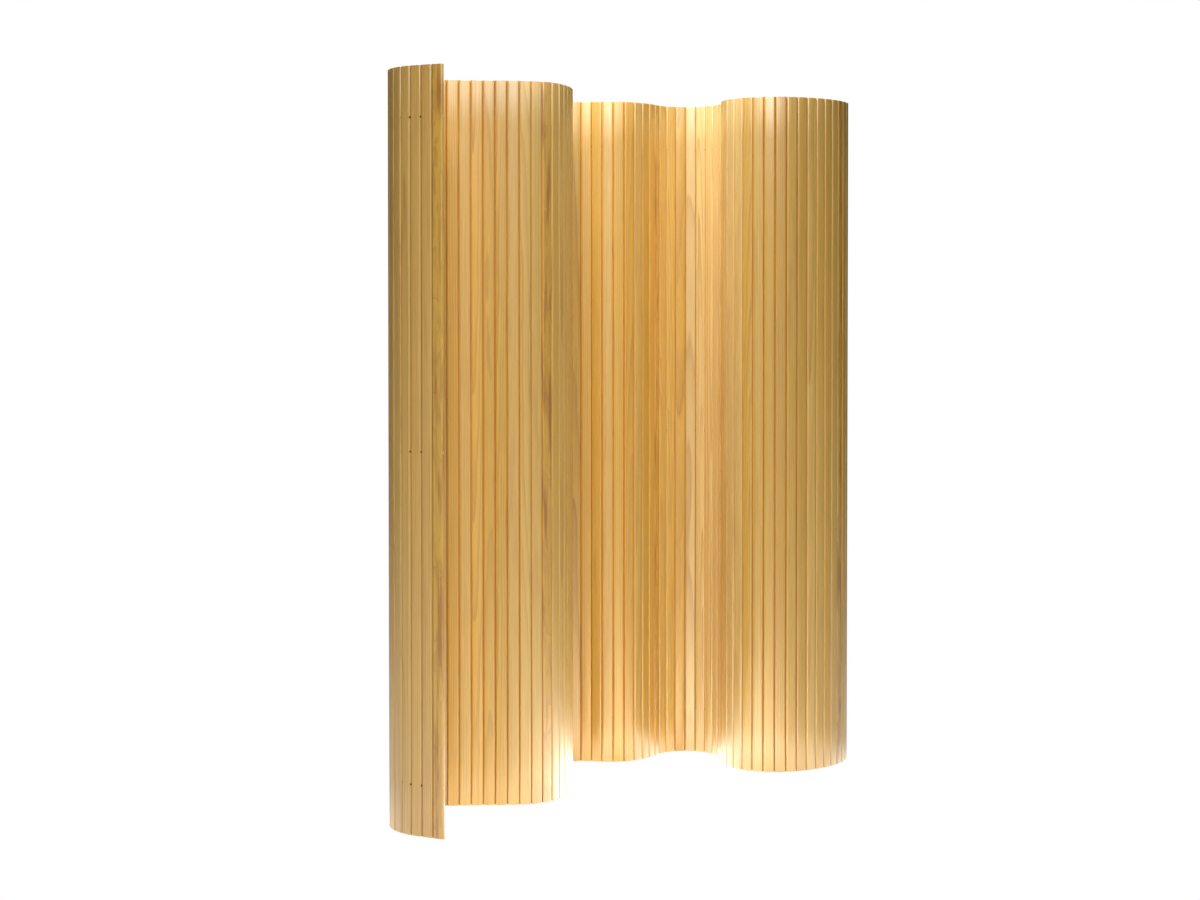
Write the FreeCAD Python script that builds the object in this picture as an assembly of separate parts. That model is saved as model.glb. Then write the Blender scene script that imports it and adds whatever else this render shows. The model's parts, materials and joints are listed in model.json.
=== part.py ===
# Flexible slatted screen: upright pine slats threaded on three wires, standing in an S-shaped curve.
import FreeCAD, Part
import math
import os

# Slats, in millimetres
SLAT_HEIGHT = 1500.0
SLAT_WIDTH = 24.7
SLAT_THICKNESS = 9.0
SLAT_EDGE_FLAT = 0.5
SLAT_END_CHAMFER = 0.6
SLAT_GAP = 0.3

# Wires: three rows, one at mid-height and one near each end of the slats
WIRE_TO_SLAT_END = 100.0
WIRE_DIAMETER = 2.5
WIRE_BORE_CLEARANCE = 0.3
WIRE_BEND_INTO_BORE = 2.5

# Wire ends: a crimped ferrule on a shoulder inside the end slat, closed by a wooden plug
FERRULE_WALL = 1.65
FERRULE_LENGTH = 7.0
FERRULE_BORE_CLEARANCE = 0.05
POCKET_CLEARANCE = 0.1
PLUG_LENGTH = 5.0

# The curve seen from above: (gaps, turn in degrees over those gaps), counter-clockwise positive
START_HEADING = 152.5
CURVE_ANGLES = [
    (2, -2), (5, -61), (2, -2), (7, -82), (5, -3), (5, 66), (11, 52),
    (8, -141), (4, 64), (3, 21), (7, -128), (3, -34), (9, 115), (8, 56),
]

# Slats that one node holds, from the left end: single slats in the tight bends, pairs elsewhere
SLATS_PER_NODE = [2] * 11 + [1] * 4 + [2] * 6 + [1] * 12 + [2] + [1] * 10 + [2] * 9

# Worked-out sizes
PITCH = SLAT_WIDTH + SLAT_GAP
SLAT_CORNER_RADIUS = (SLAT_THICKNESS - SLAT_EDGE_FLAT) / 2
WIRE_HEIGHTS = {
    "bottom": WIRE_TO_SLAT_END,
    "middle": SLAT_HEIGHT / 2,
    "top": SLAT_HEIGHT - WIRE_TO_SLAT_END,
}
WIRE_BORE_RADIUS = WIRE_DIAMETER / 2 + WIRE_BORE_CLEARANCE
FERRULE_BORE_RADIUS = WIRE_DIAMETER / 2 + FERRULE_BORE_CLEARANCE
FERRULE_RADIUS = FERRULE_BORE_RADIUS + FERRULE_WALL
POCKET_RADIUS = FERRULE_RADIUS + POCKET_CLEARANCE
PLUG_RADIUS = POCKET_RADIUS - POCKET_CLEARANCE
POCKET_DEPTH = PLUG_LENGTH + FERRULE_LENGTH
UP = FreeCAD.Vector(0, 0, 1)
ALONG = FreeCAD.Vector(1, 0, 0)


def gap_turns():
    """Turn at each gap, in degrees, from the left end of the screen to the right."""
    turns = []
    for gaps, turn in CURVE_ANGLES:
        turns += [turn / gaps] * gaps
    return turns


def slat_places():
    """Centre (x, y) and heading of every slat, with the screen's box centred on the origin."""
    headings = [START_HEADING]
    for turn in gap_turns():
        headings.append(headings[-1] + turn)
    places = []
    x, y = 0.0, 0.0
    for heading in headings:
        step_x = PITCH * math.cos(math.radians(heading))
        step_y = PITCH * math.sin(math.radians(heading))
        places.append((x + step_x / 2, y + step_y / 2, heading))
        x, y = x + step_x, y + step_y

    flat_half_width = SLAT_WIDTH / 2 - SLAT_CORNER_RADIUS
    flat_half_thickness = SLAT_THICKNESS / 2 - SLAT_CORNER_RADIUS
    x_ends, y_ends = [], []
    for x, y, heading in places:
        cosine = abs(math.cos(math.radians(heading)))
        sine = abs(math.sin(math.radians(heading)))
        reach_x = flat_half_width * cosine + flat_half_thickness * sine + SLAT_CORNER_RADIUS
        reach_y = flat_half_width * sine + flat_half_thickness * cosine + SLAT_CORNER_RADIUS
        x_ends += [x - reach_x, x + reach_x]
        y_ends += [y - reach_y, y + reach_y]
    middle_x = (min(x_ends) + max(x_ends)) / 2
    middle_y = (min(y_ends) + max(y_ends)) / 2
    return [(x - middle_x, y - middle_y, heading) for x, y, heading in places]


def gap_middles(places):
    """The points (x, y) where the wires bend, half-way across each gap, with both free ends of the run."""
    points = []
    for x, y, heading in places:
        points.append(along_slat((x, y, heading), -PITCH / 2))
    points.append(along_slat(places[-1], PITCH / 2))
    return points


def along_slat(place, distance):
    """A point (x, y) on a slat's middle line, at a distance from its centre towards the right end."""
    x, y, heading = place
    angle = math.radians(heading)
    return (x + distance * math.cos(angle), y + distance * math.sin(angle))


def put(shape, place, height=0.0):
    """A copy of a shape modelled about the origin along +X, moved to a slat's place."""
    x, y, heading = place
    copy = shape.copy()
    copy.Placement = FreeCAD.Placement(
        FreeCAD.Vector(x, y, height), FreeCAD.Rotation(UP, heading)
    )
    return copy


def cylinder_along(radius, start, end):
    """A cylinder on the X axis between two distances from the slat's centre."""
    return Part.makeCylinder(radius, end - start, FreeCAD.Vector(start, 0, 0), ALONG)


def rounded_bar(bottom, top):
    """A bar about the Z axis with the slat's section, its long corners rounded, between two heights."""
    corner = FreeCAD.Vector(-SLAT_WIDTH / 2, -SLAT_THICKNESS / 2, bottom)
    bar = Part.makeBox(SLAT_WIDTH, SLAT_THICKNESS, top - bottom, corner)
    long_edges = [edge for edge in bar.Edges if abs(edge.tangentAt(edge.FirstParameter).z) > 0.5]
    return bar.makeFillet(SLAT_CORNER_RADIUS, long_edges)


def slat():
    """One slat about the Z axis: rounded long corners, eased ends and a bore for each wire."""
    blank = rounded_bar(0.0, SLAT_HEIGHT)
    end_edges = [edge for edge in blank.Edges if edge.BoundBox.ZLength < SLAT_CORNER_RADIUS]
    blank = blank.makeChamfer(SLAT_END_CHAMFER, end_edges)
    bore = cylinder_along(WIRE_BORE_RADIUS, -SLAT_WIDTH, SLAT_WIDTH)
    return cut_at_wires(blank, bore)


def cut_at_wires(body, cutter):
    """A slat with the same cutter taken out at each wire's height."""
    cutters = []
    for height in WIRE_HEIGHTS.values():
        moved = cutter.copy()
        moved.translate(UP * height)
        cutters.append(moved)
    return body.cut(cutters)


def wire(places, height):
    """One wire: straight through the bores, bent by a tangent arc at each gap, ending in the ferrules."""
    end_reach = SLAT_WIDTH / 2 - PLUG_LENGTH
    corners = gap_middles(places)
    corners[0] = along_slat(places[0], -end_reach)
    corners[-1] = along_slat(places[-1], end_reach)
    points = [FreeCAD.Vector(x, y, height) for x, y in corners]
    reach = SLAT_GAP / 2 + WIRE_BEND_INTO_BORE
    edges = []
    run_start = points[0]
    for before, corner, after, turn in zip(points, points[1:], points[2:], gap_turns()):
        towards_before = (before - corner).normalize()
        towards_after = (after - corner).normalize()
        inwards = (towards_before + towards_after).normalize()
        half_turn = math.radians(abs(turn)) / 2
        bend_radius = reach / math.tan(half_turn)
        arc_start = corner + towards_before * reach
        arc_end = corner + towards_after * reach
        arc_middle = corner + inwards * (bend_radius / math.cos(half_turn) - bend_radius)
        edges.append(Part.LineSegment(run_start, arc_start).toShape())
        edges.append(Part.Arc(arc_start, arc_middle, arc_end).toShape())
        run_start = arc_end
    edges.append(Part.LineSegment(run_start, points[-1]).toShape())
    path = Part.Wire(edges)
    first_run = (points[1] - points[0]).normalize()
    section = Part.Wire(Part.makeCircle(WIRE_DIAMETER / 2, points[0], first_run))
    tube = path.makePipeShell([section], True, True)
    expected = math.pi * WIRE_DIAMETER ** 2 / 4 * path.Length
    print(f"wire at {height:g}: length {path.Length:.1f}, volume {tube.Volume:.1f}, expected {expected:.1f}")
    return tube


def ferrule():
    """A wire's end ferrule where it sits in a slat about the origin, at the bottom of the pocket."""
    start = SLAT_WIDTH / 2 - POCKET_DEPTH
    sleeve = cylinder_along(FERRULE_RADIUS, start, start + FERRULE_LENGTH)
    return sleeve.cut(cylinder_along(FERRULE_BORE_RADIUS, start, start + FERRULE_LENGTH))


def plug():
    """A wooden plug where it sits in a slat about the origin, trimmed flush with the slat's rounded edge."""
    pin = cylinder_along(PLUG_RADIUS, SLAT_WIDTH / 2 - PLUG_LENGTH, SLAT_WIDTH / 2)
    return pin.common(rounded_bar(-SLAT_WIDTH, SLAT_WIDTH))


def at_wire_ends(shape, place):
    """A group of one shape per wire in an end slat."""
    return Part.Compound([put(shape, place, height) for height in WIRE_HEIGHTS.values()])


def turned_round(place):
    """The same place with the heading reversed, so that +X points out of the left end."""
    x, y, heading = place
    return (x, y, heading + 180)


def node_slats():
    """Name of each slat node and the numbers of the slats that it holds."""
    nodes = []
    first = 0
    for count in SLATS_PER_NODE:
        held = list(range(first, first + count))
        label = "_".join(f"{number + 1:02d}" for number in held)
        nodes.append(("slats_" + label if count > 1 else "slat_" + label, held))
        first += count
    return nodes


def main():
    os.makedirs("parts", exist_ok=True)
    places = slat_places()
    left_end = turned_round(places[0])
    right_end = places[-1]

    plain_slat = slat()
    pocket = cylinder_along(POCKET_RADIUS, SLAT_WIDTH / 2 - POCKET_DEPTH, SLAT_WIDTH)
    end_slat = cut_at_wires(plain_slat, pocket)

    shapes = {}
    for name, held in node_slats():
        solids = []
        for number in held:
            if number == 0:
                solids.append(put(end_slat, left_end))
            elif number == len(places) - 1:
                solids.append(put(end_slat, right_end))
            else:
                solids.append(put(plain_slat, places[number]))
        shapes[name] = Part.Compound(solids) if len(solids) > 1 else solids[0]

    for name, height in WIRE_HEIGHTS.items():
        shapes["wire_" + name] = wire(places, height)
    for side, place in (("left", left_end), ("right", right_end)):
        shapes[side + "_wire_ferrules"] = at_wire_ends(ferrule(), place)
        shapes[side + "_edge_plugs"] = at_wire_ends(plug(), place)

    for name, shape in shapes.items():
        shape.exportStep(f"parts/{name}.step")


if __name__ == "__main__":
    main()
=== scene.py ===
import json
import math
import random

import bpy
from mathutils import Matrix, Vector

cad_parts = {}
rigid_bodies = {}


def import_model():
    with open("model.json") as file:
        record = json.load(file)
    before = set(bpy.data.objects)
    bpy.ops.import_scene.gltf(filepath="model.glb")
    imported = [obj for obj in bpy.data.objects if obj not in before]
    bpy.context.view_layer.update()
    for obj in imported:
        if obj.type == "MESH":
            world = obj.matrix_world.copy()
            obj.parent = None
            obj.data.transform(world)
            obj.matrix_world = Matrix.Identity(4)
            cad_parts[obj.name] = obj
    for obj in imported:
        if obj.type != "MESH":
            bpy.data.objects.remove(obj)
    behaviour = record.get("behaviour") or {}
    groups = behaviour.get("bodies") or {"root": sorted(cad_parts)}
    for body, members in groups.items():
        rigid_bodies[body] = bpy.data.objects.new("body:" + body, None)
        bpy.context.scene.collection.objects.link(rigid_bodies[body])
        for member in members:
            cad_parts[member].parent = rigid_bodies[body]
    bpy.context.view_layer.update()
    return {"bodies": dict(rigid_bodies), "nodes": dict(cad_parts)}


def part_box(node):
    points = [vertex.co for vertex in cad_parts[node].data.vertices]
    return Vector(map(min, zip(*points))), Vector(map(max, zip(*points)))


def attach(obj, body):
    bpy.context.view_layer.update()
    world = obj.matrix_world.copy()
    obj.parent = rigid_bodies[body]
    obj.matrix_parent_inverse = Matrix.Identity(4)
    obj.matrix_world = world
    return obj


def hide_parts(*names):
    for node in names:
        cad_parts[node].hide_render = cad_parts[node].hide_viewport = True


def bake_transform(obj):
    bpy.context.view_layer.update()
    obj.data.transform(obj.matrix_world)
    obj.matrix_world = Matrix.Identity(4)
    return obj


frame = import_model()

# Slat, wire, ferrule and plug sizes in metres, as the solids have them
SLAT_HEIGHT = 1.5
SLAT_WIDTH = 0.0247
SLAT_THICKNESS = 0.009
SLAT_PITCH = 0.025
SLAT_CORNER_RADIUS = 0.00425
SLAT_END_EASING = 0.0006
WIRE_HEIGHTS = {"bottom": 0.1, "middle": 0.75, "top": 1.4}
WIRE_RADIUS = 0.00125
WIRE_BEND_REACH = 0.00265
BORE_RADIUS = 0.00155
POCKET_RADIUS = 0.00305
POCKET_DEPTH = 0.012
PLUG_RADIUS = 0.00295
PLUG_LENGTH = 0.005

# Details that only the scene has: ridges along the slat edges, worn bore mouths and eased plug rims
EDGE_RIDGE = 0.00012
WORN_MOUTH_DEPTH = 0.006
WORN_MOUTH_TAPER = 0.85
WORN_MOUTH_LEAN = 0.67
PLUG_RIM_EASING = 0.00025

# The curve seen from above: (gaps, turn in degrees over those gaps), counter-clockwise positive
START_HEADING = 152.5
CURVE_ANGLES = [
    (2, -2), (5, -61), (2, -2), (7, -82), (5, -3), (5, 66), (11, 52),
    (8, -141), (4, 64), (3, 21), (7, -128), (3, -34), (9, 115), (8, 56),
]

# The slat whose solid gives the plan its place
ANCHOR_SLAT = 44

# How far a slat may stand outside the box of its node, in metres
BOX_TOLERANCE = 0.0005

# How finely round shapes are faceted
CORNER_FACETS = 6
EASING_FACETS = 2
BORE_SIDES = 16
WIRE_SIDES = 10
WIRE_BEND_STEPS = 4
PLUG_SIDES = 24
SMOOTH_ANGLE = math.radians(48)

# Camera of the photo: nearly level, at about two thirds of the screen's height
CAMERA_PLACE = (-0.0729, -4.7076, 1.0093)
CAMERA_PITCH_DEGREES = 1.23
CAMERA_SENSOR = 36
CAMERA_LENS = 66.328
CAMERA_SHIFT = -0.07


# Working with one object at a time
def only(piece):
    bpy.ops.object.select_all(action="DESELECT")
    piece.select_set(True)
    bpy.context.view_layer.objects.active = piece


def new_primitive(operator, **sizes):
    """A primitive alone in the selection, its size and place applied to its mesh."""
    bpy.ops.object.select_all(action="DESELECT")
    operator(**sizes)
    piece = bpy.context.object
    bpy.ops.object.transform_apply(location=True, rotation=True, scale=True)
    return piece


def edit_edges(piece, wanted):
    """Enters edit mode with the edges selected whose two ends pass the test."""
    only(piece)
    bpy.ops.object.mode_set(mode="EDIT")
    bpy.ops.mesh.select_mode(type="EDGE")
    bpy.ops.mesh.select_all(action="DESELECT")
    bpy.ops.object.mode_set(mode="OBJECT")
    vertices = piece.data.vertices
    for edge in piece.data.edges:
        edge.select = wanted(*(vertices[index].co for index in edge.vertices))
    bpy.ops.object.mode_set(mode="EDIT")


def leave_edit():
    bpy.ops.object.mode_set(mode="OBJECT")


def join(pieces):
    bpy.ops.object.select_all(action="DESELECT")
    for piece in pieces:
        piece.select_set(True)
    bpy.context.view_layer.objects.active = pieces[0]
    bpy.ops.object.join()
    return pieces[0]


def cut(piece, cutter, operation):
    """Applies a boolean with the cutter, which is then removed."""
    only(piece)
    boolean = piece.modifiers.new("cut", "BOOLEAN")
    boolean.operation = operation
    boolean.object = cutter
    boolean.solver = "EXACT"
    boolean.material_mode = "TRANSFER"
    bpy.ops.object.modifier_apply(modifier=boolean.name)
    remove(cutter)


def remove(piece):
    mesh = piece.data
    bpy.data.objects.remove(piece)
    bpy.data.meshes.remove(mesh)


def placed_copy(model, name, place):
    """A copy of a model with its own mesh, its place in that mesh."""
    piece = model.copy()
    piece.data = model.data.copy()
    piece.name = name
    piece.data.name = name
    piece.data.transform(place)
    bpy.context.scene.collection.objects.link(piece)
    return piece


def smooth(piece):
    only(piece)
    bpy.ops.object.shade_smooth_by_angle(angle=SMOOTH_ANGLE)


# The plan: where each slat stands and where each gap bends
def gap_turns():
    turns = []
    for gaps, turn in CURVE_ANGLES:
        turns += [math.radians(turn / gaps)] * gaps
    return turns


def slat_plan():
    """Each slat's placing matrix, each gap's corner point and each slat's heading."""
    headings = [math.radians(START_HEADING)]
    for turn in gap_turns():
        headings.append(headings[-1] + turn)
    corners = [Vector((0, 0, 0))]
    for heading in headings:
        corners.append(corners[-1] + SLAT_PITCH * Vector((math.cos(heading), math.sin(heading), 0)))
    middles = [(before + after) / 2 for before, after in zip(corners, corners[1:])]
    low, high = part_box("slat_44")
    shift = (low + high) / 2 - middles[ANCHOR_SLAT - 1]
    shift.z = 0
    places = [
        Matrix.Translation(middle + shift) @ Matrix.Rotation(heading, 4, "Z")
        for middle, heading in zip(middles, headings)
    ]
    return places, [corner + shift for corner in corners], headings


def slat_bodies():
    """The name of the body that holds each slat, by slat number from 1; its node has the same name."""
    found = {}
    for body in frame["bodies"]:
        for number in body.split("_")[1:]:
            found[int(number)] = body
    return found


# Shapes
def rounded_bar(bottom, top):
    """A bar with the slat's section: rounded long corners, and a low ridge on each edge to close the gap."""
    bar = new_primitive(
        bpy.ops.mesh.primitive_cube_add, size=1, location=(0, 0, (bottom + top) / 2),
        scale=(SLAT_WIDTH, SLAT_THICKNESS, top - bottom),
    )
    edit_edges(bar, lambda a, b: abs(a.z - b.z) > SLAT_THICKNESS)
    bpy.ops.mesh.bevel(
        offset=SLAT_CORNER_RADIUS, offset_type="OFFSET", segments=CORNER_FACETS, profile=0.5, affect="EDGES"
    )
    bpy.ops.mesh.select_all(action="SELECT")
    bpy.ops.mesh.bisect(plane_co=(0, 0, 0), plane_no=(0, 1, 0))
    leave_edit()
    for side in (-1, 1):
        edit_edges(
            bar, lambda a, b: all(abs(end.y) < EDGE_RIDGE / 2 and end.x * side > 0 for end in (a, b))
        )
        bpy.ops.transform.translate(value=(side * EDGE_RIDGE, 0, 0))
        leave_edit()
    return bar


def round_cutters(start_radius, end_radius, start, end, finish):
    """Three round or tapered cutters along X between two distances from the slat's middle, one per wire."""
    cutters = []
    for height in WIRE_HEIGHTS.values():
        cutters.append(new_primitive(
            bpy.ops.mesh.primitive_cone_add, vertices=BORE_SIDES, radius1=start_radius, radius2=end_radius,
            depth=end - start, location=((start + end) / 2, 0, height), rotation=(0, math.pi / 2, 0),
        ))
    dress(cutters[0], finish)
    return join(cutters)


def model_slat():
    """A slat with eased ends and a bore for each wire; bands keep the bores apart from the long faces."""
    slat = rounded_bar(0, SLAT_HEIGHT)

    def round_an_end(a, b):
        return abs(a.z - b.z) < SLAT_THICKNESS and max(abs(a.y), abs(b.y)) > EDGE_RIDGE

    edit_edges(slat, round_an_end)
    bpy.ops.mesh.bevel(
        offset=SLAT_END_EASING, offset_type="OFFSET", segments=EASING_FACETS, profile=0.5, affect="EDGES"
    )
    for height in WIRE_HEIGHTS.values():
        for band in (-SLAT_THICKNESS, SLAT_THICKNESS):
            bpy.ops.mesh.select_all(action="SELECT")
            bpy.ops.mesh.bisect(plane_co=(0, 0, height + band), plane_no=(0, 0, 1))
    leave_edit()
    dress(slat, pine)
    cut(slat, round_cutters(BORE_RADIUS, BORE_RADIUS, -SLAT_WIDTH, SLAT_WIDTH, bored_wood), "DIFFERENCE")
    smooth(slat)
    return slat


def model_worn_slat(slat, radius):
    """The slat with its bores' mouths worn open towards the front, +Y, by the wires at one edge, -X."""
    worn_slat = placed_copy(slat, "worn_slat_model", Matrix.Identity(4))
    outside = -SLAT_WIDTH / 2 - 2 * EDGE_RIDGE
    inside = outside + WORN_MOUTH_DEPTH
    # The mouths' walls are near-black: painted shade
    mouths = round_cutters(radius, radius * WORN_MOUTH_TAPER, outside, inside, mouth_shade_wood)
    mouths.data.transform(Matrix.Translation((0, radius * WORN_MOUTH_LEAN, 0)))
    cut(worn_slat, mouths, "DIFFERENCE")
    smooth(worn_slat)
    return worn_slat


def model_end_slat(slat):
    """The slat with a pocket round each bore at its outer edge, +X."""
    end_slat = placed_copy(slat, "end_slat_model", Matrix.Identity(4))
    shoulder = SLAT_WIDTH / 2 - POCKET_DEPTH
    pockets = round_cutters(POCKET_RADIUS, POCKET_RADIUS, shoulder, SLAT_WIDTH, bored_wood)
    cut(end_slat, pockets, "DIFFERENCE")
    smooth(end_slat)
    return end_slat


def model_plug():
    """A plug flush with the slat's rounded outer edge, +X, its rim eased."""
    pin = new_primitive(
        bpy.ops.mesh.primitive_cylinder_add, vertices=PLUG_SIDES, radius=PLUG_RADIUS, depth=PLUG_LENGTH,
        location=((SLAT_WIDTH - PLUG_LENGTH) / 2, 0, 0), rotation=(0, math.pi / 2, 0),
    )
    cut(pin, rounded_bar(-SLAT_WIDTH, SLAT_WIDTH), "INTERSECT")
    outer = SLAT_WIDTH / 2 - PLUG_LENGTH / 2

    def on_rim(a, b):
        return all(end.x > outer and math.hypot(end.y, end.z) > PLUG_RADIUS * 0.98 for end in (a, b))

    edit_edges(pin, on_rim)
    bpy.ops.mesh.bevel(
        offset=PLUG_RIM_EASING, offset_type="OFFSET", segments=EASING_FACETS, profile=0.5, affect="EDGES"
    )
    leave_edit()
    smooth(pin)
    return pin


def start_wires(start, length):
    """Edit mode on three straight wires along X, their far ends selected for the next extrude or spin."""
    ends = []
    for height in WIRE_HEIGHTS.values():
        ends.append(new_primitive(
            bpy.ops.mesh.primitive_circle_add, vertices=WIRE_SIDES, radius=WIRE_RADIUS, fill_type="NGON",
            location=(start, 0, height), rotation=(0, math.pi / 2, 0),
        ))
    wires = join(ends)
    only(wires)
    bpy.ops.object.mode_set(mode="EDIT")
    bpy.ops.mesh.select_mode(type="FACE")
    bpy.ops.mesh.select_all(action="SELECT")
    bpy.ops.mesh.extrude_region_move(TRANSFORM_OT_translate={"value": (length, 0, 0)})
    return wires


def close_wires(wires):
    bpy.ops.mesh.select_all(action="SELECT")
    bpy.ops.mesh.remove_doubles(threshold=WIRE_RADIUS / 100)
    bpy.ops.mesh.normals_make_consistent(inside=False)
    leave_edit()
    smooth(wires)


def model_wire_end():
    """The three wires from the middle of an end slat to the faces of its ferrules."""
    end = start_wires(0, SLAT_WIDTH / 2 - PLUG_LENGTH)
    close_wires(end)
    return end


def model_wire_run(turn):
    """The three wires from the middle of one slat to the middle of the next, bent about Z by the turn."""
    straight = SLAT_PITCH / 2 - WIRE_BEND_REACH
    bend_radius = WIRE_BEND_REACH / math.tan(turn / 2)
    run = start_wires(-SLAT_PITCH / 2, straight)
    bpy.ops.mesh.spin(
        steps=WIRE_BEND_STEPS, angle=turn, center=(-WIRE_BEND_REACH, bend_radius, 0), axis=(0, 0, 1)
    )
    onwards = (straight * math.cos(turn), straight * math.sin(turn), 0)
    bpy.ops.mesh.extrude_region_move(TRANSFORM_OT_translate={"value": onwards})
    close_wires(run)
    return run


# Finishes
def new_finish(name):
    finish = bpy.data.materials.new(name)
    finish.use_nodes = True
    finish.node_tree.nodes.clear()
    tree = finish.node_tree
    shader = tree.nodes.new("ShaderNodeBsdfPrincipled")
    output = tree.nodes.new("ShaderNodeOutputMaterial")
    tree.links.new(shader.outputs["BSDF"], output.inputs["Surface"])
    return finish, tree, shader


def step(tree, kind, settings, *inputs):
    """A node with its settings; inputs are (name or number, socket or value)."""
    made = tree.nodes.new(kind)
    for name, value in settings.items():
        setattr(made, name, value)
    for name, value in inputs:
        if isinstance(value, bpy.types.NodeSocket):
            tree.links.new(value, made.inputs[name])
        else:
            made.inputs[name].default_value = value
    return made


def calc(tree, operation, first, second=0.0):
    return step(tree, "ShaderNodeMath", {"operation": operation}, (0, first), (1, second)).outputs[0]


def half_and_half(tree, value):
    """Half the value plus a half."""
    settings = {"operation": "MULTIPLY_ADD"}
    return step(tree, "ShaderNodeMath", settings, (0, value), (1, 0.5), (2, 0.5)).outputs[0]


def vector_calc(tree, operation, first, second=(0.0, 0.0, 0.0)):
    return step(tree, "ShaderNodeVectorMath", {"operation": operation}, (0, first), (1, second)).outputs[0]


def noise(tree, place, scale, detail=2.0):
    """Noise over a place in metres, stretched by (x, y, z) features per metre."""
    stretched = vector_calc(tree, "MULTIPLY", place, scale)
    return step(tree, "ShaderNodeTexNoise", {}, ("Vector", stretched), ("Scale", 1.0), ("Detail", detail))


def ramp(tree, factor, *stops):
    made = step(tree, "ShaderNodeValToRGB", {}, ("Fac", factor))
    elements = made.color_ramp.elements
    while len(elements) < len(stops):
        elements.new(1.0)
    for element, (position, colour) in zip(elements, stops):
        element.position = position
        element.color = (*colour, 1.0) if isinstance(colour, tuple) else (colour, colour, colour, 1.0)
    return made.outputs["Color"]


def mix(tree, factor, first, second, blend="MIX"):
    """A mix of two colours; sockets 0, 6 and 7 are its factor and the colours."""
    made = step(tree, "ShaderNodeMix", {"data_type": "RGBA", "blend_type": blend})
    for socket, value in ((made.inputs[0], factor), (made.inputs[6], first), (made.inputs[7], second)):
        if isinstance(value, bpy.types.NodeSocket):
            tree.links.new(value, socket)
        elif isinstance(value, tuple):
            socket.default_value = (*value, 1.0)
        else:
            socket.default_value = value
    return made.outputs[2]


def bump(tree, shader, height, strength, distance):
    made = step(
        tree, "ShaderNodeBump", {}, ("Strength", strength), ("Distance", distance), ("Height", height)
    )
    tree.links.new(made.outputs["Normal"], shader.inputs["Normal"])


# Colours of the pine
SAPWOOD = (0.78, 0.565, 0.22)
PALE_EARLYWOOD = (0.76, 0.488, 0.116)
HONEY_EARLYWOOD = (0.74, 0.415, 0.042)
LATEWOOD = (0.48, 0.222, 0.026)
# Painted shade along the slat edges, amber as light bounced in the gaps
GAP_SHADE_AMBER = (1.0, 0.8, 0.38)
FIGURE_BROWN = (0.4, 0.155, 0.022)
RED_HEARTWOOD = (0.56, 0.29, 0.085)
KNOT_BROWN = (0.16, 0.062, 0.018)
# Painted shade in the groove at the +X edge of the left slats
GROOVE_SHADE_BROWN = (0.6, 0.54, 0.42)

# Grain: features per metre across and along the log, and how far each moves the rings, in metres
WANDER_FEATURES = (9.0, 9.0, 1.3)
WANDER_REACH = (0.012, 0.012, 0.0)
RIPPLE_FEATURES = (38.0, 38.0, 11.0)
RIPPLE_REACH = 0.016
FIBRE_FEATURES = (850.0, 850.0, 11.0)
STREAK_FEATURES = (130.0, 130.0, 1.7)
PATCH_FEATURES = (22.0, 22.0, 2.4)
FIGURE_FEATURES = (95.0, 95.0, 6.0)

# Knots: cells per metre that may hold one, how it is stretched, and the reach of its core and halo
KNOT_CELLS = (27.0, 27.0, 1.7)
KNOTTY_SHARE = 0.06
KNOT_STRETCH = (1.0, 1.0, 0.6)
KNOT_CORES_PER_METRE = 150.0
KNOT_HALOS_PER_METRE = 40.0
KNOT_SWERVE = 0.006

# Bare wood and plugs: features per metre
FUZZ_FEATURES = (1800.0, 1800.0, 1800.0)
PORE_FEATURES = (2600.0, 2600.0, 2600.0)
BAND_FEATURES = (420.0, 420.0, 420.0)

# Painted shade along the edges, amber as light bounced in the gap, and painted shade in the groove:
# distances from the slat's edge, in metres
GAP_SHADE_START = 0.0013
GAP_SHADE_FULL = 0.0003
GROOVE_START = 0.0042
GROOVE_FULL = 0.0016


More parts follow.
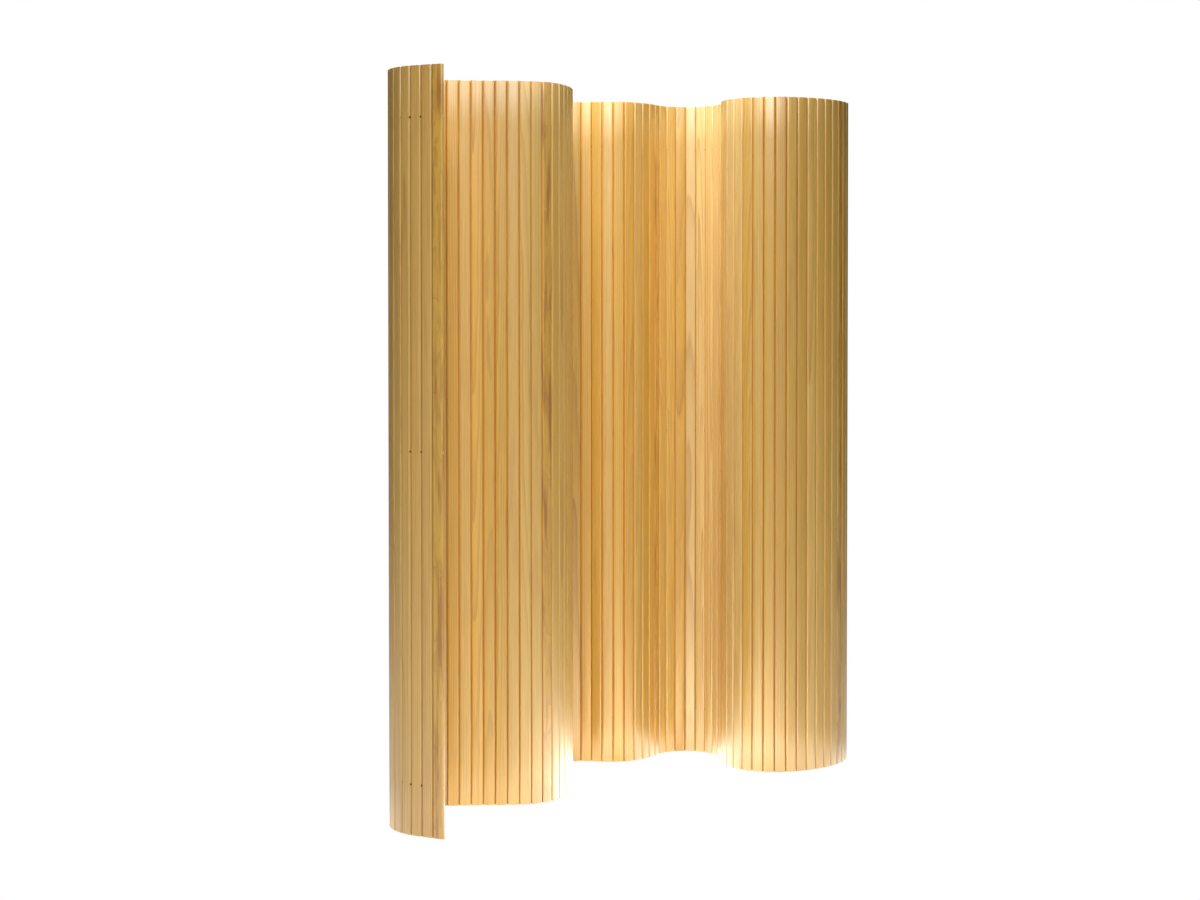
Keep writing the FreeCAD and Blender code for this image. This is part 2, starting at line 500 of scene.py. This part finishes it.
def lacquered_pine():
    """Growth rings round each slat's own pith, fibres, honey streaks, knots and a clear satin lacquer, with
    painted shade along the edges and painted light and shade on whole slats.
    """
    finish, tree, shader = new_finish("lacquered_pine")
    place = step(tree, "ShaderNodeAttribute", {"attribute_name": "log_place"}).outputs["Vector"]
    board = step(tree, "ShaderNodeAttribute", {"attribute_name": "board"}).outputs["Vector"]
    board_parts = step(tree, "ShaderNodeSeparateXYZ", {}, ("Vector", board))
    tone, ring_width, redness = (board_parts.outputs[axis] for axis in "XYZ")
    marks = step(tree, "ShaderNodeAttribute", {"attribute_name": "marks"}).outputs["Vector"]
    marks_parts = step(tree, "ShaderNodeSeparateXYZ", {}, ("Vector", marks))
    figure, gap_shade_share, painted_light_gain = (marks_parts.outputs[axis] for axis in "XYZ")
    own_place = step(tree, "ShaderNodeAttribute", {"attribute_name": "own_place"}).outputs["Vector"]
    own_x = step(tree, "ShaderNodeSeparateXYZ", {}, ("Vector", own_place)).outputs["X"]

    # Knots: one point in some of the stretched cells, with a distance in metres round it
    cells = vector_calc(tree, "MULTIPLY", place, KNOT_CELLS)
    knot = step(tree, "ShaderNodeTexVoronoi", {}, ("Vector", cells), ("Scale", 1.0))
    from_knot = vector_calc(tree, "SUBTRACT", cells, knot.outputs["Position"])
    from_knot = vector_calc(tree, "DIVIDE", from_knot, KNOT_CELLS)
    from_knot = vector_calc(tree, "MULTIPLY", from_knot, KNOT_STRETCH)
    knot_distance = step(
        tree, "ShaderNodeVectorMath", {"operation": "LENGTH"}, (0, from_knot)
    ).outputs["Value"]
    cell_draw = step(tree, "ShaderNodeSeparateXYZ", {}, ("Vector", knot.outputs["Color"])).outputs["X"]
    has_knot = calc(tree, "GREATER_THAN", cell_draw, 1.0 - KNOTTY_SHARE)
    halo_share = calc(tree, "MULTIPLY", knot_distance, KNOT_HALOS_PER_METRE)
    knot_halo = ramp(tree, halo_share, (0.0, 1.0), (0.25, 0.55), (0.7, 0.0))
    knot_halo = calc(tree, "MULTIPLY", knot_halo, has_knot)
    core_share = calc(tree, "MULTIPLY", knot_distance, KNOT_CORES_PER_METRE)
    knot_core = ramp(tree, core_share, (0.0, 0.7), (0.34, 0.8), (0.42, 1.0), (0.55, 0.0))
    knot_core = calc(tree, "MULTIPLY", knot_core, has_knot)

    # Rings: distance from the pith, wandering along the log and swerving round knots
    wander = noise(tree, place, WANDER_FEATURES).outputs["Color"]
    wander = vector_calc(tree, "SUBTRACT", wander, (0.5, 0.5, 0.5))
    wander = vector_calc(tree, "MULTIPLY", wander, WANDER_REACH)
    ripple = calc(tree, "SUBTRACT", noise(tree, place, RIPPLE_FEATURES).outputs["Fac"], 0.5)
    ripple = calc(tree, "MULTIPLY", calc(tree, "MULTIPLY", ripple, figure), RIPPLE_REACH)
    across = vector_calc(tree, "MULTIPLY", vector_calc(tree, "ADD", place, wander), (1.0, 1.0, 0.0))
    pith_distance = step(
        tree, "ShaderNodeVectorMath", {"operation": "LENGTH"}, (0, across)
    ).outputs["Value"]
    pith_distance = calc(tree, "ADD", pith_distance, calc(tree, "MULTIPLY", knot_halo, KNOT_SWERVE))
    pith_distance = calc(tree, "ADD", pith_distance, ripple)
    rings = calc(tree, "DIVIDE", pith_distance, ring_width)
    latewood = ramp(
        tree, calc(tree, "FRACT", rings), (0.0, 0.0), (0.45, 0.08), (0.8, 0.6), (0.93, 1.0), (1.0, 0.0)
    )
    ring_year = step(
        tree, "ShaderNodeTexWhiteNoise", {"noise_dimensions": "1D"}, ("W", calc(tree, "FLOOR", rings))
    ).outputs["Value"]
    latewood = calc(tree, "MULTIPLY", latewood, half_and_half(tree, ring_year))

    fibres = noise(tree, place, FIBRE_FEATURES, 3.0).outputs["Fac"]
    streaks = noise(tree, place, STREAK_FEATURES).outputs["Fac"]
    patches = noise(tree, place, PATCH_FEATURES).outputs["Fac"]

    honey = calc(tree, "ADD", calc(tree, "MULTIPLY", streaks, 0.9), calc(tree, "MULTIPLY", patches, 0.7))
    honey = calc(tree, "SUBTRACT", honey, half_and_half(tree, tone))
    colour = mix(tree, honey, PALE_EARLYWOOD, HONEY_EARLYWOOD)
    colour = mix(tree, calc(tree, "SUBTRACT", tone, 1.0), colour, SAPWOOD)
    colour = mix(tree, calc(tree, "MULTIPLY", latewood, 0.75), colour, LATEWOOD)
    colour = mix(tree, 1.0, colour, ramp(tree, fibres, (0.3, 0.9), (0.7, 1.08)), "MULTIPLY")
    colour = mix(tree, redness, colour, RED_HEARTWOOD)
    figure_streaks = noise(tree, place, FIGURE_FEATURES, 3.0).outputs["Fac"]
    figure_streaks = ramp(tree, figure_streaks, (0.5, 0.0), (0.66, 0.8))
    colour = mix(tree, calc(tree, "MULTIPLY", figure_streaks, figure), colour, FIGURE_BROWN)
    colour = mix(tree, knot_core, colour, KNOT_BROWN)
    # Painted light and shade: the whole colour scaled by the slat's gain
    colour = step(
        tree, "ShaderNodeVectorMath", {"operation": "SCALE"}, (0, colour), ("Scale", painted_light_gain)
    ).outputs[0]

    # Painted shade along both edges, amber as light bounced in the gap, and painted shade in the groove at
    # the +X edge
    from_middle = calc(tree, "ABSOLUTE", own_x)
    gap_shade = step(
        tree, "ShaderNodeMapRange", {"interpolation_type": "SMOOTHSTEP"}, ("Value", from_middle),
        ("From Min", SLAT_WIDTH / 2 - GAP_SHADE_START), ("From Max", SLAT_WIDTH / 2 - GAP_SHADE_FULL),
    ).outputs["Result"]
    gap_shade = calc(tree, "MULTIPLY", gap_shade, gap_shade_share)
    colour = mix(tree, gap_shade, colour, mix(tree, 1.0, colour, GAP_SHADE_AMBER, "MULTIPLY"))
    groove_shaded = step(tree, "ShaderNodeAttribute", {"attribute_name": "groove_shaded"}).outputs["Fac"]
    groove = step(
        tree, "ShaderNodeMapRange", {"interpolation_type": "SMOOTHSTEP"}, ("Value", own_x),
        ("From Min", SLAT_WIDTH / 2 - GROOVE_START), ("From Max", SLAT_WIDTH / 2 - GROOVE_FULL),
    ).outputs["Result"]
    groove = calc(tree, "MULTIPLY", groove, groove_shaded)
    colour = mix(tree, groove, colour, mix(tree, 1.0, colour, GROOVE_SHADE_BROWN, "MULTIPLY"))
    tree.links.new(colour, shader.inputs["Base Color"])

    rough = calc(tree, "ADD", calc(tree, "MULTIPLY", fibres, 0.16), 0.4)
    tree.links.new(rough, shader.inputs["Roughness"])
    shader.inputs["Specular IOR Level"].default_value = 0.75
    shader.inputs["Coat Weight"].default_value = 0.9
    shader.inputs["Coat Roughness"].default_value = 0.42
    shader.inputs["Coat IOR"].default_value = 1.5
    relief = calc(tree, "ADD", calc(tree, "MULTIPLY", latewood, 0.5), calc(tree, "MULTIPLY", fibres, 0.5))
    bump(tree, shader, relief, 0.2, 0.0002)
    return finish


def bare_pine(name, dark, light):
    """Bare wood inside a drilled hole: rough and fuzzy."""
    finish, tree, shader = new_finish(name)
    place = step(tree, "ShaderNodeTexCoord", {}).outputs["Object"]
    fuzz = noise(tree, place, FUZZ_FEATURES, 3.0).outputs["Fac"]
    tree.links.new(mix(tree, fuzz, dark, light), shader.inputs["Base Color"])
    shader.inputs["Roughness"].default_value = 0.95
    shader.inputs["Specular IOR Level"].default_value = 0.0
    bump(tree, shader, fuzz, 0.4, 0.0002)
    return finish


def plug_end_grain():
    """Turned wooden plug seen on its end: pale, with soft bands and fine pores."""
    finish, tree, shader = new_finish("plug_end_grain")
    place = step(tree, "ShaderNodeTexCoord", {}).outputs["Object"]
    pores = noise(tree, place, PORE_FEATURES, 3.0).outputs["Fac"]
    bands = noise(tree, place, BAND_FEATURES).outputs["Fac"]
    colour = mix(tree, bands, (0.86, 0.66, 0.38), (0.74, 0.5, 0.22))
    colour = mix(tree, 1.0, colour, ramp(tree, pores, (0.3, 0.72), (0.6, 1.05)), "MULTIPLY")
    tree.links.new(colour, shader.inputs["Base Color"])
    rough = calc(tree, "ADD", calc(tree, "MULTIPLY", pores, 0.2), 0.35)
    tree.links.new(rough, shader.inputs["Roughness"])
    shader.inputs["Coat Weight"].default_value = 0.3
    shader.inputs["Coat Roughness"].default_value = 0.25
    bump(tree, shader, pores, 0.3, 0.0002)
    return finish


def metal(name, dark, light, roughness, scale):
    """Dull metal with fine drawn or crimped marks."""
    finish, tree, shader = new_finish(name)
    place = step(tree, "ShaderNodeTexCoord", {}).outputs["Object"]
    marks = noise(tree, place, scale, 3.0).outputs["Fac"]
    tree.links.new(mix(tree, marks, dark, light), shader.inputs["Base Color"])
    rough = calc(tree, "ADD", calc(tree, "MULTIPLY", marks, 0.25), roughness)
    tree.links.new(rough, shader.inputs["Roughness"])
    shader.inputs["Metallic"].default_value = 1.0
    bump(tree, shader, marks, 0.25, 0.0001)
    return finish


def dress(piece, finish):
    piece.data.materials.clear()
    piece.data.materials.append(finish)


# How slats are sawn: (lowest, highest) or (middle, spread) of each draw, in metres where it is a length
PITH_RADII = (0.015, 0.11)
LOG_LENGTH = 40
GRAIN_TILT = 0.012
RING_WIDTHS = (0.0022, 0.0046)
TONES = (0, 0.4)
REDNESSES = (-0.08, 0.12)
FAINT_FIGURE = 0.25
SAPWOOD_TONES = (1.7, 2.0)
PALE_TONES = (0.6, 1.1)
GOLDEN_TONES = (-1.0, -0.6)
BROWN_TONES = (-1.2, -0.7)
BROWN_REDNESSES = (0.1, 0.25)
STRONG_FIGURES = (0.8, 1.2)
CATHEDRAL_PITH_RADIUS = 0.012
CATHEDRAL_TILT = -0.02
# Painted light and painted shade: gains that lighten or darken whole slats, standing in for how the light
# falls on them
PAINTED_LIGHT_GAIN = 1.13
PAINTED_SHADE_GAIN = 0.92
LEFT_TONE = 0.9
LEFT_REDNESS = 0.3
# Share of the painted edge shade on the left slats
LEFT_GAP_SHADE = 0.2

# Slats, by number from the left end, that differ from the rest
SAPWOOD_SLATS = {57, 58, 59, 60, 61, 65, 66, 67}
PALE_SLATS = {18, 22, 24, 27, 28, 29, 47, 50, 54, 55, 74}
GOLDEN_SLATS = {17, 19, 20, 21, 45, 46, 48, 51, 52, 56}
BROWN_SLATS = {1, 25, 49, 71, 73, 78}
FIGURED_SLATS = {1, 25, 53, 78}
CATHEDRAL_SLATS = {12, 33, 54, 68}
# Slats lightened by painted light, and slats darkened by painted shade
PAINTED_LIGHT_SLATS = {17, 18, 19, *range(45, 50), *range(52, 56), *range(58, 62)}
PAINTED_SHADE_SLATS = set(range(68, 74))
LEFT_SLATS = set(range(2, 9))
END_SLATS = {1, 80}
# Slats with painted shade in the groove at their +X edge
GROOVE_SHADED_SLATS = set(range(1, 8))

# Radius of the worn bore mouths at a slat's -X edge, and the gaps whose wires are near-black: painted shade
# in those mouths
WORN_MOUTHS = {3: 0.0024, 4: 0.0024, 5: 0.0017}
MOUTH_SHADE_GAPS = {2, 3, 4}


def saw_slat(piece, number, place, draw):
    """Gives a slat its place in a log, its tone, rings, redness and figure, its painted shade along the
    edges and in the groove, and its gain of painted light and shade.
    """
    pith_turn = draw.uniform(0, 2 * math.pi)
    pith_radius = draw.uniform(*PITH_RADII)
    along = draw.uniform(0, LOG_LENGTH)
    tilt_x = draw.uniform(-GRAIN_TILT, GRAIN_TILT)
    tilt_y = draw.uniform(-GRAIN_TILT, GRAIN_TILT)
    ring_width = draw.uniform(*RING_WIDTHS)
    tone = draw.gauss(*TONES)
    redness = max(0.0, draw.gauss(*REDNESSES))
    figure = draw.uniform(0.0, FAINT_FIGURE)
    # Share of the painted edge shade, and the gain of painted light and shade
    gap_shade_share = 1.0
    painted_light_gain = 1.0
    if number in SAPWOOD_SLATS:
        tone = draw.uniform(*SAPWOOD_TONES)
        redness = 0.0
    if number in PALE_SLATS:
        tone = draw.uniform(*PALE_TONES)
        redness = 0.0
    if number in GOLDEN_SLATS:
        tone = draw.uniform(*GOLDEN_TONES)
        redness = 0.0
    if number in BROWN_SLATS:
        tone = draw.uniform(*BROWN_TONES)
        redness = draw.uniform(*BROWN_REDNESSES)
    if number in FIGURED_SLATS:
        figure = draw.uniform(*STRONG_FIGURES)
        pith_turn = math.pi / 2
    if number in CATHEDRAL_SLATS:
        pith_turn = math.pi / 2
        pith_radius = CATHEDRAL_PITH_RADIUS
        tilt_y = CATHEDRAL_TILT
    if number in PAINTED_LIGHT_SLATS:
        painted_light_gain = PAINTED_LIGHT_GAIN
    if number in PAINTED_SHADE_SLATS:
        painted_light_gain = PAINTED_SHADE_GAIN
    if number in LEFT_SLATS:
        tone = LEFT_TONE
        redness = LEFT_REDNESS
        gap_shade_share = LEFT_GAP_SHADE
    if number in END_SLATS:
        gap_shade_share = 0.0
    back = place.inverted()
    own_places = [back @ vertex.co for vertex in piece.data.vertices]
    log_places = [
        (
            own.x + pith_radius * math.cos(pith_turn) + tilt_x * own.z,
            own.y + pith_radius * math.sin(pith_turn) + tilt_y * own.z,
            own.z + along,
        )
        for own in own_places
    ]
    boards = [(tone, ring_width, redness)] * len(own_places)
    marks = [(figure, gap_shade_share, painted_light_gain)] * len(own_places)
    traits = {"own_place": own_places, "log_place": log_places, "board": boards, "marks": marks}
    for name, vectors in traits.items():
        attribute = piece.data.attributes.new(name, "FLOAT_VECTOR", "POINT")
        attribute.data.foreach_set("vector", [value for vector in vectors for value in vector])
    # Marks the slats that get painted shade in the groove
    attribute = piece.data.attributes.new("groove_shaded", "FLOAT", "POINT")
    attribute.data.foreach_set("value", [float(number in GROOVE_SHADED_SLATS)] * len(own_places))


# Slats
places, corners, headings = slat_plan()
bodies = slat_bodies()
pine = lacquered_pine()
bored_wood = bare_pine("bored_pine", (0.5, 0.25, 0.04), (0.75, 0.42, 0.08))
# Near-black wood in the worn bore mouths: painted shade
mouth_shade_wood = bare_pine("mouth_painted_shade_pine", (0.012, 0.006, 0.002), (0.05, 0.024, 0.008))
plain_slat = model_slat()
end_slat = model_end_slat(plain_slat)
worn_slats = {}
for radius in WORN_MOUTHS.values():
    if radius not in worn_slats:
        worn_slats[radius] = model_worn_slat(plain_slat, radius)
HALF_TURN = Matrix.Rotation(math.pi, 4, "Z")
draw = random.Random(23)
for number, place in enumerate(places, start=1):
    if number == 1:
        slat = placed_copy(end_slat, "pine_slat_01", place @ HALF_TURN)
    elif number == len(places):
        slat = placed_copy(end_slat, f"pine_slat_{number:02d}", place)
    else:
        model = worn_slats[WORN_MOUTHS[number]] if number in WORN_MOUTHS else plain_slat
        slat = placed_copy(model, f"pine_slat_{number:02d}", place)
    saw_slat(slat, number, place, draw)
    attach(slat, bodies[number])
    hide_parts(bodies[number])
    low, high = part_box(bodies[number])
    for corner in slat.bound_box:
        for axis in range(3):
            past = max(low[axis] - corner[axis], corner[axis] - high[axis])
            assert past < BOX_TOLERANCE, f"slat {number} stands outside its node by {past:.4f} m"

# Plugs in the outer edges of the end slats
plug_wood = plug_end_grain()
plug_model = model_plug()
for side, number, place in (("left", 1, places[0] @ HALF_TURN), ("right", len(places), places[-1])):
    for row, height in WIRE_HEIGHTS.items():
        plug = placed_copy(plug_model, f"{side}_{row}_plug", place @ Matrix.Translation((0, 0, height)))
        dress(plug, plug_wood)
        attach(plug, bodies[number])
        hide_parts(f"{side}_edge_plugs")

# Wires: from slat middle to slat middle, bending at the gap; where two bodies meet there, the run stays in
# its place on no body
WIRE_NODES = ["wire_" + row for row in WIRE_HEIGHTS]
WIRE_MARKS = (300.0, 300.0, 3000.0)
wire_steel = metal("brassed_wire_steel", (0.5, 0.29, 0.08), (0.75, 0.48, 0.16), 0.3, WIRE_MARKS)
# Near-black wire seen in the worn mouths: painted shade
wire_shade_steel = metal("wire_painted_shade_steel", (0.02, 0.015, 0.01), (0.07, 0.05, 0.03), 0.5, WIRE_MARKS)
wire_models = {}
for number, turn in enumerate(gap_turns(), start=1):
    if turn not in wire_models:
        wire_models[turn] = model_wire_run(turn)
    heading = headings[number - 1]
    corner = corners[number]
    place = Matrix.Translation(corner) @ Matrix.Rotation(heading, 4, "Z")
    run = placed_copy(wire_models[turn], f"wires_gap_{number:02d}", place)
    dress(run, wire_shade_steel if number in MOUTH_SHADE_GAPS else wire_steel)
    before, after = bodies[number], bodies[number + 1]
    if before == after:
        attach(run, before)
    else:
        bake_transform(run)
    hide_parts(*WIRE_NODES)

# Wire ends, from the middle of each end slat through its ferrule
wire_end_model = model_wire_end()
for side, number, place in (("left", 1, places[0] @ HALF_TURN), ("right", len(places), places[-1])):
    end = placed_copy(wire_end_model, f"{side}_wire_ends", place)
    dress(end, wire_steel)
    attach(end, bodies[number])
    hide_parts(*WIRE_NODES)

# Ferrules keep their solids
FERRULE_MARKS = (900.0, 900.0, 900.0)
ferrule_metal = metal("crimped_aluminium", (0.5, 0.5, 0.51), (0.78, 0.78, 0.79), 0.35, FERRULE_MARKS)
for side in ("left", "right"):
    dress(frame["nodes"][side + "_wire_ferrules"], ferrule_metal)

# The models have been copied and aren't part of the screen
models = [plain_slat, end_slat, plug_model, wire_end_model, *worn_slats.values(), *wire_models.values()]
for model in models:
    remove(model)


# Studio: pale floor, soft light, the photo's camera. Pools of light are (centre, radius, strength)
FLOOR_GLOW = [((0.0, -1.5, 0.0), 4.0, 0.72)]
FLOOR_SHEEN = [((0.0, -0.9, 0.0), 1.1, 2.4), ((0.12, -0.05, 0.0), 0.75, 10.0)]
FLOOR_SIZE = 60
AIR_LIGHT = 0.02

# The sheen shows in slanting reflections and fades out in steep ones, where 1 is straight down
SHEEN_FULL_STEEPNESS = 0.35
SHEEN_NO_STEEPNESS = 0.8

# Lamps: place, target, size in metres and power in watts
LAMPS = {
    "front_lamp": ((-0.1, -3.8, 3.4), (0, 0, 0.75), 1.5, 98),
    "top_lamp": ((-0.25, 0.15, 2.7), (0, 0, 0.75), 1.0, 39),
    "back_lamp": ((0.2, 3.8, 3.2), (0, 0, 0.75), 1.5, 40),
    "sheen_lamp": ((0.12, -0.35, 1.95), (0.12, 0.3, 1.35), 0.7, 5.5),
}


def light_pools(tree, place, pools):
    """Light that fades out from the middle of each pool: (centre, radius, strength)."""
    light = 0.0
    for centre, radius, strength in pools:
        away = step(
            tree, "ShaderNodeVectorMath", {"operation": "DISTANCE"}, (0, place), (1, centre)
        ).outputs["Value"]
        pool = step(
            tree, "ShaderNodeMapRange", {"interpolation_type": "SMOOTHSTEP"}, ("Value", away),
            ("From Max", radius), ("To Min", strength), ("To Max", 0.0),
        ).outputs["Result"]
        light = calc(tree, "ADD", pool, light)
    return light


def studio_floor():
    """Plain floor: white to the camera, and with pools of light that show in the lacquer at a slant."""
    floor = new_primitive(bpy.ops.mesh.primitive_plane_add, size=FLOOR_SIZE)
    floor.name = "studio_floor"
    finish, tree, shader = new_finish("pale_floor")
    place = step(tree, "ShaderNodeTexCoord", {}).outputs["Object"]
    cloud = noise(tree, place, (0.6, 0.6, 0.6)).outputs["Fac"]
    tree.links.new(mix(tree, cloud, (0.88, 0.88, 0.88), (0.92, 0.92, 0.92)), shader.inputs["Base Color"])
    shader.inputs["Roughness"].default_value = 0.9
    shader.inputs["Emission Color"].default_value = (1, 1, 1, 1)
    rays = step(tree, "ShaderNodeLightPath", {})
    first_bounce = calc(tree, "LESS_THAN", rays.outputs["Diffuse Depth"], 0.5)
    mirrored = calc(tree, "MULTIPLY", rays.outputs["Is Glossy Ray"], first_bounce)
    towards_ray = step(tree, "ShaderNodeNewGeometry", {}).outputs["Incoming"]
    steepness = step(tree, "ShaderNodeSeparateXYZ", {}, ("Vector", towards_ray)).outputs["Z"]
    slanting = step(
        tree, "ShaderNodeMapRange", {"interpolation_type": "SMOOTHSTEP"}, ("Value", steepness),
        ("From Min", SHEEN_FULL_STEEPNESS), ("From Max", SHEEN_NO_STEEPNESS),
        ("To Min", 1.0), ("To Max", 0.0),
    ).outputs["Result"]
    mirrored = calc(tree, "MULTIPLY", mirrored, slanting)
    sheen = calc(tree, "MULTIPLY", light_pools(tree, place, FLOOR_SHEEN), mirrored)
    glow = calc(tree, "ADD", light_pools(tree, place, FLOOR_GLOW), sheen)
    tree.links.new(glow, shader.inputs["Emission Strength"])
    white = step(tree, "ShaderNodeEmission", {}, ("Color", (1, 1, 1, 1)), ("Strength", 1.0))
    both = step(
        tree, "ShaderNodeMixShader", {}, (0, rays.outputs["Is Camera Ray"]),
        (1, shader.outputs[0]), (2, white.outputs[0]),
    )
    output = next(node for node in tree.nodes if node.type == "OUTPUT_MATERIAL")
    tree.links.new(both.outputs[0], output.inputs["Surface"])
    dress(floor, finish)


def soft_lamp(name, place, target, size, power):
    lamp = bpy.data.lights.new(name, "AREA")
    lamp.shape = "DISK"
    lamp.size = size
    lamp.energy = power
    holder = bpy.data.objects.new(name, lamp)
    holder.location = place
    holder.rotation_euler = (Vector(target) - Vector(place)).to_track_quat("-Z", "Y").to_euler()
    bpy.context.scene.collection.objects.link(holder)
    return holder


def studio_air():
    """White behind the screen, and softer light from all round."""
    world = bpy.data.worlds.new("studio_air")
    world.use_nodes = True
    tree = world.node_tree
    tree.nodes.clear()
    seen = step(tree, "ShaderNodeLightPath", {}).outputs["Is Camera Ray"]
    backdrop = step(tree, "ShaderNodeBackground", {}, ("Color", (1, 1, 1, 1)), ("Strength", 1.0))
    light = step(tree, "ShaderNodeBackground", {}, ("Color", (1, 1, 1, 1)), ("Strength", AIR_LIGHT))
    both = step(
        tree, "ShaderNodeMixShader", {}, (0, seen), (1, light.outputs[0]), (2, backdrop.outputs[0])
    )
    output = tree.nodes.new("ShaderNodeOutputWorld")
    tree.links.new(both.outputs[0], output.inputs["Surface"])
    bpy.context.scene.world = world


def photo_camera():
    camera = bpy.data.cameras.new("photo_camera")
    camera.sensor_width = CAMERA_SENSOR
    camera.lens = CAMERA_LENS
    camera.shift_y = CAMERA_SHIFT
    holder = bpy.data.objects.new("photo_camera", camera)
    holder.location = CAMERA_PLACE
    holder.rotation_euler = (math.radians(90 - CAMERA_PITCH_DEGREES), 0, 0)
    bpy.context.scene.collection.objects.link(holder)
    bpy.context.scene.camera = holder


studio_floor()
studio_air()
lamps = {name: soft_lamp(name, *settings) for name, settings in LAMPS.items()}
lamps["sheen_lamp"].visible_diffuse = False
lamps["sheen_lamp"].visible_camera = False
photo_camera()
bpy.context.scene.view_settings.view_transform = "Standard"
